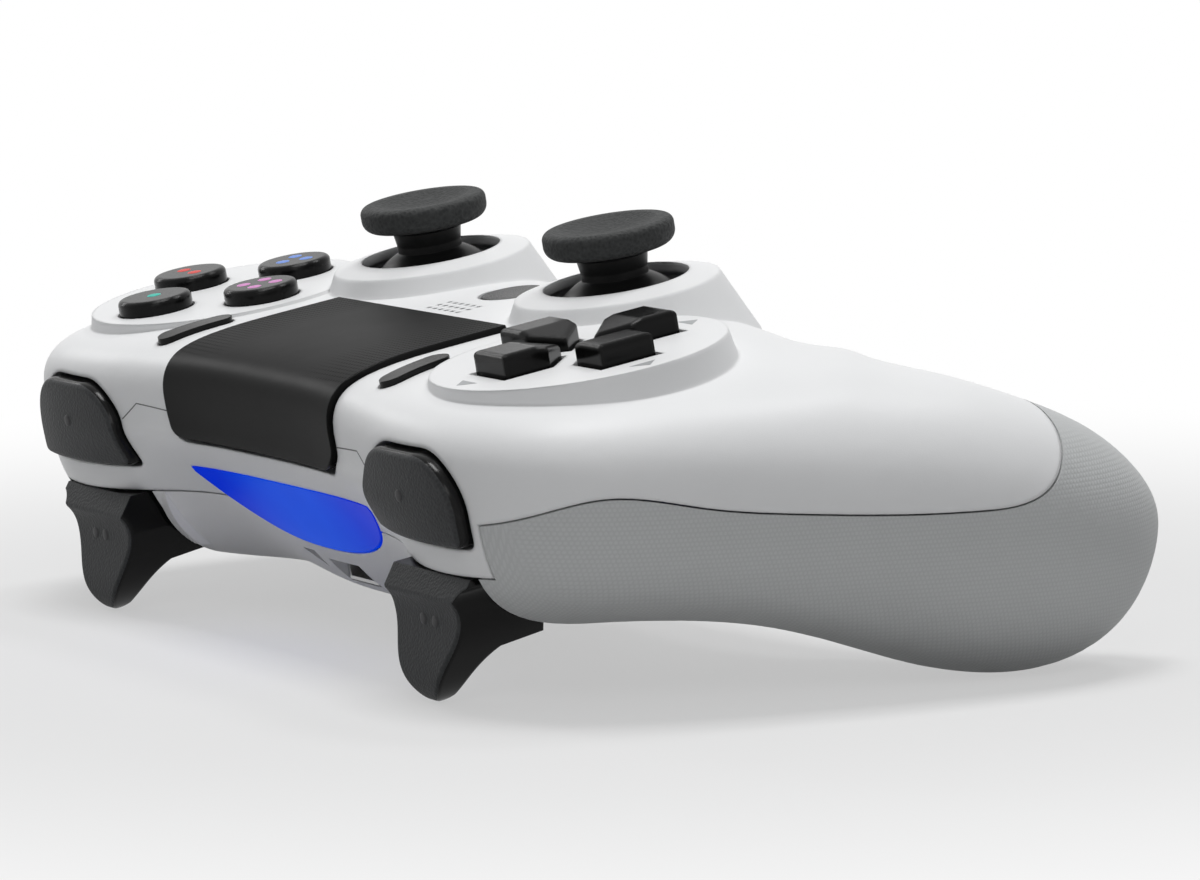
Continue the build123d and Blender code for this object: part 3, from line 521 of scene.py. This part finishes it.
def surface_line(points):
    """Thin closed strip along a line of (x, z) deck points, laid on the front of the shell."""
    stations = []
    for (x0, z0), (x1, z1) in zip(points, points[1:]):
        count = max(1, round(Vector((x1 - x0, z1 - z0)).length / line_step))
        stations += [(x0 + (x1 - x0) * i / count, z0 + (z1 - z0) * i / count) for i in range(count)]
    stations.append(points[-1])
    seats = [seat("front_shell", (x, before_front, z), (0, -1, 0)) for x, z in stations]
    loops, last = [], len(seats) - 1
    for index, (place, normal) in enumerate(seats):
        along = seats[min(index + 1, last)][0] - seats[max(index - 1, 0)][0]
        across = along.cross(normal).normalized() * (line_width * mm / 2)
        lift, sink = normal * (print_height * mm), normal * (-line_depth * mm)
        loops += [place - across + lift, place + across + lift, place + across + sink, place - across + sink]
    faces = [(0, 1, 2, 3), tuple(4 * last + corner for corner in (3, 2, 1, 0))]
    for index in range(last):
        for corner in range(4):
            low, after = 4 * index + corner, 4 * index + (corner + 1) % 4
            faces.append((low, low + 4, after + 4, after))
    return loops, faces


def draw_panel_lines():
    """Fine joints that run from the touch surface to the windows of the shoulder keys."""
    dark = moulded("joint_shadow", (0.10, 0.10, 0.10), (0.16, 0.16, 0.16), 0.2)
    parts = [surface_line([(side * x, z) for x, z in panel_line]) for side in (-1, 1)]
    piece_from("panel_joints", *gathered(parts), dark, "casing")


def mark_shoulder_keys():
    """One raised pip on each shoulder key and two on each trigger, to tell them by touch."""
    grey = moulded("pip_grey", (0.012, 0.012, 0.013), (0.02, 0.02, 0.022), 0.3)
    for word, side in (("left", -1), ("right", 1)):
        start = Vector((side * bumper_pip.x, before_front, bumper_pip.z))
        place, normal = seat(word + "_bumper", start, (0, -1, 0))
        dot = domed_dot(place, normal, touch_pip_radius, touch_pip_height)
        piece_from(word + "_bumper_pip", *dot, grey, word + "_shoulder", True)
        parts = []
        for shift in (-trigger_pip_spacing / 2, trigger_pip_spacing / 2):
            start = Vector((side * trigger_pip.x + shift, before_front, trigger_pip.z))
            place, normal = seat(word + "_trigger", start, (0, -1, 0))
            parts.append(domed_dot(place, normal, touch_pip_radius, touch_pip_height))
        piece_from(word + "_trigger_pips", *gathered(parts), grey, word + "_trigger_lever", True)


def place_camera():
    """Camera at the photograph's angle, set out from the button deck."""
    view = bpy.data.cameras.new("photo_camera")
    view.lens, view.sensor_width, view.sensor_fit = focal_length, sensor_width, "HORIZONTAL"
    view.clip_start, view.clip_end = 0.01, 20.0
    camera = bpy.data.objects.new("photo_camera", view)
    back = -(turn @ camera_ahead).normalized()
    up = turn @ camera_up
    right = up.cross(back).normalized()
    up = back.cross(right)
    axes = Matrix((right, up, back)).transposed().to_4x4()
    camera.matrix_world = Matrix.Translation(on_deck(camera_place)) @ axes
    bpy.context.scene.collection.objects.link(camera)
    bpy.context.scene.camera = camera


def soft_lamp(name, place, size, power):
    """Square softbox that shines on the controller."""
    lamp = bpy.data.lights.new(name, "AREA")
    lamp.shape, lamp.size, lamp.energy = "SQUARE", size, power
    holder = bpy.data.objects.new(name, lamp)
    holder.location = place
    holder.rotation_euler = (lamp_target - Vector(place)).to_track_quat("-Z", "Y").to_euler()
    bpy.context.scene.collection.objects.link(holder)


def seen_rays(nodes, links):
    """1 for what the camera sees itself, or through gloss and glass; 0 for the light on the object."""
    path = nodes.new("ShaderNodeLightPath")
    total = path.outputs["Is Camera Ray"]
    for ray in ("Is Glossy Ray", "Is Transmission Ray"):
        either = nodes.new("ShaderNodeMath")
        either.operation = "MAXIMUM"
        links.new(total, either.inputs[0])
        links.new(path.outputs[ray], either.inputs[1])
        total = either.outputs[0]
    return total


def light_studio():
    """Four softboxes, a dim even light round the object, and plain white where the camera looks past it."""
    for name, (place, size, power) in lamps.items():
        soft_lamp(name, place, size, power)
    world = bpy.data.worlds.new("studio")
    world.use_nodes = True
    bpy.context.scene.world = world
    nodes, links = world.node_tree.nodes, world.node_tree.links
    ambient = nodes["Background"]
    ambient.inputs["Color"].default_value = (0.95, 0.97, 1.0, 1.0)
    ambient.inputs["Strength"].default_value = ambient_strength
    seen = nodes.new("ShaderNodeBackground")
    seen.inputs["Strength"].default_value = 1.0
    mix = nodes.new("ShaderNodeMixShader")
    links.new(seen_rays(nodes, links), mix.inputs[0])
    links.new(ambient.outputs[0], mix.inputs[1])
    links.new(seen.outputs[0], mix.inputs[2])
    links.new(mix.outputs[0], nodes["World Output"].inputs["Surface"])
    bpy.context.scene.view_settings.view_transform = "Standard"


def lay_floor():
    """Pale floor that holds the shadow and turns to plain white away from the object."""
    half = floor_half
    f = Finish("pale_floor", specular_ior_level=0.1)
    f.put(base_color=f.mix(f.noise(60.0, 4.0), (0.50, 0.50, 0.50), (0.53, 0.53, 0.53)), roughness=0.9)
    x, y, _ = f.places()
    away = (x * x + y * y).root().rise(shadow_reach, white_reach) * (1 - least_white) + least_white
    seen = Reading(f, seen_rays(f.tree.nodes, f.tree.links))
    white = f.tree.nodes.new("ShaderNodeEmission")
    mix = f.tree.nodes.new("ShaderNodeMixShader")
    f.feed(mix.inputs[0], away * seen)
    f.tree.links.new(f.shader.outputs[0], mix.inputs[1])
    f.tree.links.new(white.outputs[0], mix.inputs[2])
    f.tree.links.new(mix.outputs[0], f.tree.nodes["Material Output"].inputs["Surface"])
    corners = [(-half, -half, 0), (half, -half, 0), (half, half, 0), (-half, half, 0)]
    mesh = bpy.data.meshes.new("floor")
    mesh.from_pydata(corners, [], [(0, 1, 2, 3)])
    mesh.materials.append(f.material)
    floor = bpy.data.objects.new("floor", mesh)
    floor.location.z = -floor_gap
    bpy.context.scene.collection.objects.link(floor)


dress_frame()
mark_face_buttons()
mark_direction_disc()
mark_shoulder_keys()
draw_panel_lines()
place_camera()
light_studio()
lay_floor()
